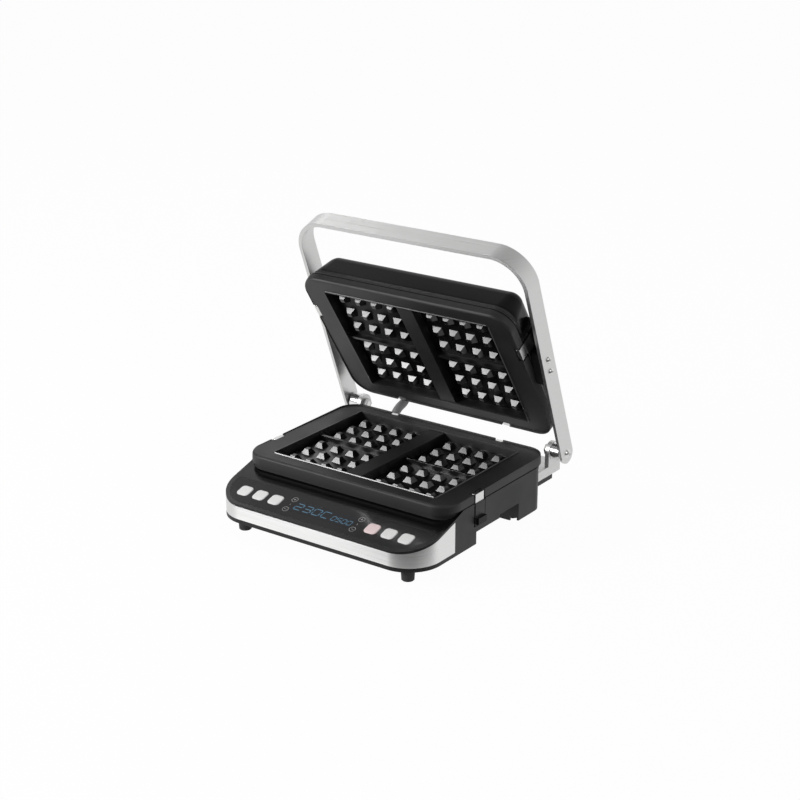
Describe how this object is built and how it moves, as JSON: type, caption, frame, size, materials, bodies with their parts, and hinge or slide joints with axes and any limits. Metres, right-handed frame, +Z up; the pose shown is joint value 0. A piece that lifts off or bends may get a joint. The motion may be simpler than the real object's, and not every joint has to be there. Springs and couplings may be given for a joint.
{
  "type": "waffle maker",
  "caption": "Open waffle maker with a floating lid on a U-shaped brushed handle, studded non-stick plates, a sloping control deck and press buttons.",
  "frame": {"origin": "under the middle of the overall box, at the height of the worktop", "axes": "+X to the user's right, the front with its control deck faces -Y, +Z up"},
  "size_m": [0.3574, 0.3454, 0.3732],
  "materials": {
    "base_plastic": "moulded matte black",
    "panel_plastic": "glossy black inlay",
    "lid_plastic": "satin black",
    "band_steel": "long horizontal grain",
    "handle_steel": "long grain along the bar",
    "display_glass": "dark window",
    "display_body": "dark display module",
    "circuit_board": "green board",
    "component_plastic": "black component bodies",
    "fitting_plastic": "moulded black",
    "nonstick_aluminium": "dark non-stick coating",
    "reflector_aluminium": "bright rolled sheet",
    "element_steel": "sheathed element",
    "sensor_metal": "plain metal",
    "spring_steel": "bright spring strip",
    "release_plastic": "moulded black",
    "button_plastic": "white satin",
    "cast_bracket": "satin casting",
    "barrel_chrome": "chromed",
    "polished_steel": "polished",
    "zinc_steel": "zinc plated",
    "foot_rubber": "black rubber",
    "braided_sleeve": "grey braided sleeve"
  },
  "bodies": {
    "base": {"base_housing": "base_plastic", "bottom_cover": "base_plastic", "cover_screws": "zinc_steel", "rubber_feet": "foot_rubber", "front_band": "band_steel", "control_panel": "panel_plastic", "display_window": "display_glass", "display_module": "display_body", "control_board": "circuit_board", "key_switches": "component_plastic", "power_board": "circuit_board", "power_relays": "component_plastic", "terminal_block": "component_plastic", "mains_inlet": "fitting_plastic", "lower_plate": "nonstick_aluminium", "lower_reflector": "reflector_aluminium", "lower_tray_screws": "zinc_steel", "lower_element": "element_steel", "lower_element_clips": "spring_steel", "lower_sensor": "sensor_metal", "thermal_fuse": "sensor_metal", "lower_hooks": "spring_steel", "hinge_bracket_left": "cast_bracket", "hinge_bracket_right": "cast_bracket", "hinge_barrels": "barrel_chrome", "bracket_screws": "zinc_steel", "conduit_gland_lower": "fitting_plastic", "wire_conduit": "braided_sleeve"},
    "arms": {"handle_bar": "handle_steel", "hinge_pins": "polished_steel", "hinge_nuts": "zinc_steel", "arm_screws": "polished_steel", "pivot_block_left": "fitting_plastic", "pivot_block_right": "fitting_plastic"},
    "lid": {"upper_housing": "lid_plastic", "upper_plate": "nonstick_aluminium", "upper_reflector": "reflector_aluminium", "upper_tray_screws": "zinc_steel", "upper_element": "element_steel", "upper_element_clips": "spring_steel", "upper_sensor": "sensor_metal", "upper_hooks": "spring_steel", "lid_pivot_pins": "polished_steel", "conduit_gland_upper": "fitting_plastic"},
    "button_left_1": {"button_left_1": "button_plastic"},
    "button_left_2": {"button_left_2": "button_plastic"},
    "button_left_3": {"button_left_3": "button_plastic"},
    "button_right_1": {"button_right_1": "button_plastic"},
    "button_right_2": {"button_right_2": "button_plastic"},
    "button_right_3": {"button_right_3": "button_plastic"},
    "latch_lower_left": {"latch_clip_lower_left": "spring_steel", "release_button_lower_left": "release_plastic"},
    "latch_lower_right": {"latch_clip_lower_right": "spring_steel", "release_button_lower_right": "release_plastic"},
    "latch_upper_left": {"latch_clip_upper_left": "spring_steel", "release_button_upper_left": "release_plastic"},
    "latch_upper_right": {"latch_clip_upper_right": "spring_steel", "release_button_upper_right": "release_plastic"}
  },
  "joints": [
    {"name": "arm_hinge", "type": "hinge", "parent": "base", "child": "arms", "pos_m": [0, 0.13713, 0.081], "axis": [-1, 0, 0], "range_deg": [-56.45, 28], "deforming": ["wire_conduit"]},
    {"name": "lid_float", "type": "hinge", "parent": "arms", "child": "lid", "pos_m": [0, 0.0861, 0.21458], "axis": [1, 0, 0], "range_deg": [0, 10]},
    {"name": "button_left_1_press", "type": "slide", "parent": "base", "child": "button_left_1", "axis": [0, 0.2823, -0.9593], "range_m": [0, 0.0008], "stiffness_N_per_m": 1500},
    {"name": "button_left_2_press", "type": "slide", "parent": "base", "child": "button_left_2", "axis": [0, 0.2823, -0.9593], "range_m": [0, 0.0008], "stiffness_N_per_m": 1500},
    {"name": "button_left_3_press", "type": "slide", "parent": "base", "child": "button_left_3", "axis": [0, 0.2823, -0.9593], "range_m": [0, 0.0008], "stiffness_N_per_m": 1500},
    {"name": "button_right_1_press", "type": "slide", "parent": "base", "child": "button_right_1", "axis": [0, 0.2823, -0.9593], "range_m": [0, 0.0008], "stiffness_N_per_m": 1500},
    {"name": "button_right_2_press", "type": "slide", "parent": "base", "child": "button_right_2", "axis": [0, 0.2823, -0.9593], "range_m": [0, 0.0008], "stiffness_N_per_m": 1500},
    {"name": "button_right_3_press", "type": "slide", "parent": "base", "child": "button_right_3", "axis": [0, 0.2823, -0.9593], "range_m": [0, 0.0008], "stiffness_N_per_m": 1500},
    {"name": "latch_lower_left_release", "type": "hinge", "parent": "base", "child": "latch_lower_left", "pos_m": [-0.155, -0.04267, 0.059], "axis": [0, -1, 0], "range_deg": [0, 9.5], "stiffness_Nm_per_rad": 0.7},
    {"name": "latch_lower_right_release", "type": "hinge", "parent": "base", "child": "latch_lower_right", "pos_m": [0.155, -0.04267, 0.059], "axis": [0, 1, 0], "range_deg": [0, 9.5], "stiffness_Nm_per_rad": 0.7},
    {"name": "latch_upper_left_release", "type": "hinge", "parent": "lid", "child": "latch_upper_left", "pos_m": [-0.155, 0.06677, 0.25008], "axis": [0, 0.5527, -0.8334], "range_deg": [0, 9.5], "stiffness_Nm_per_rad": 0.7},
    {"name": "latch_upper_right_release", "type": "hinge", "parent": "lid", "child": "latch_upper_right", "pos_m": [0.155, 0.06677, 0.25008], "axis": [0, -0.5527, 0.8334], "range_deg": [0, 9.5], "stiffness_Nm_per_rad": 0.7}
  ]
}
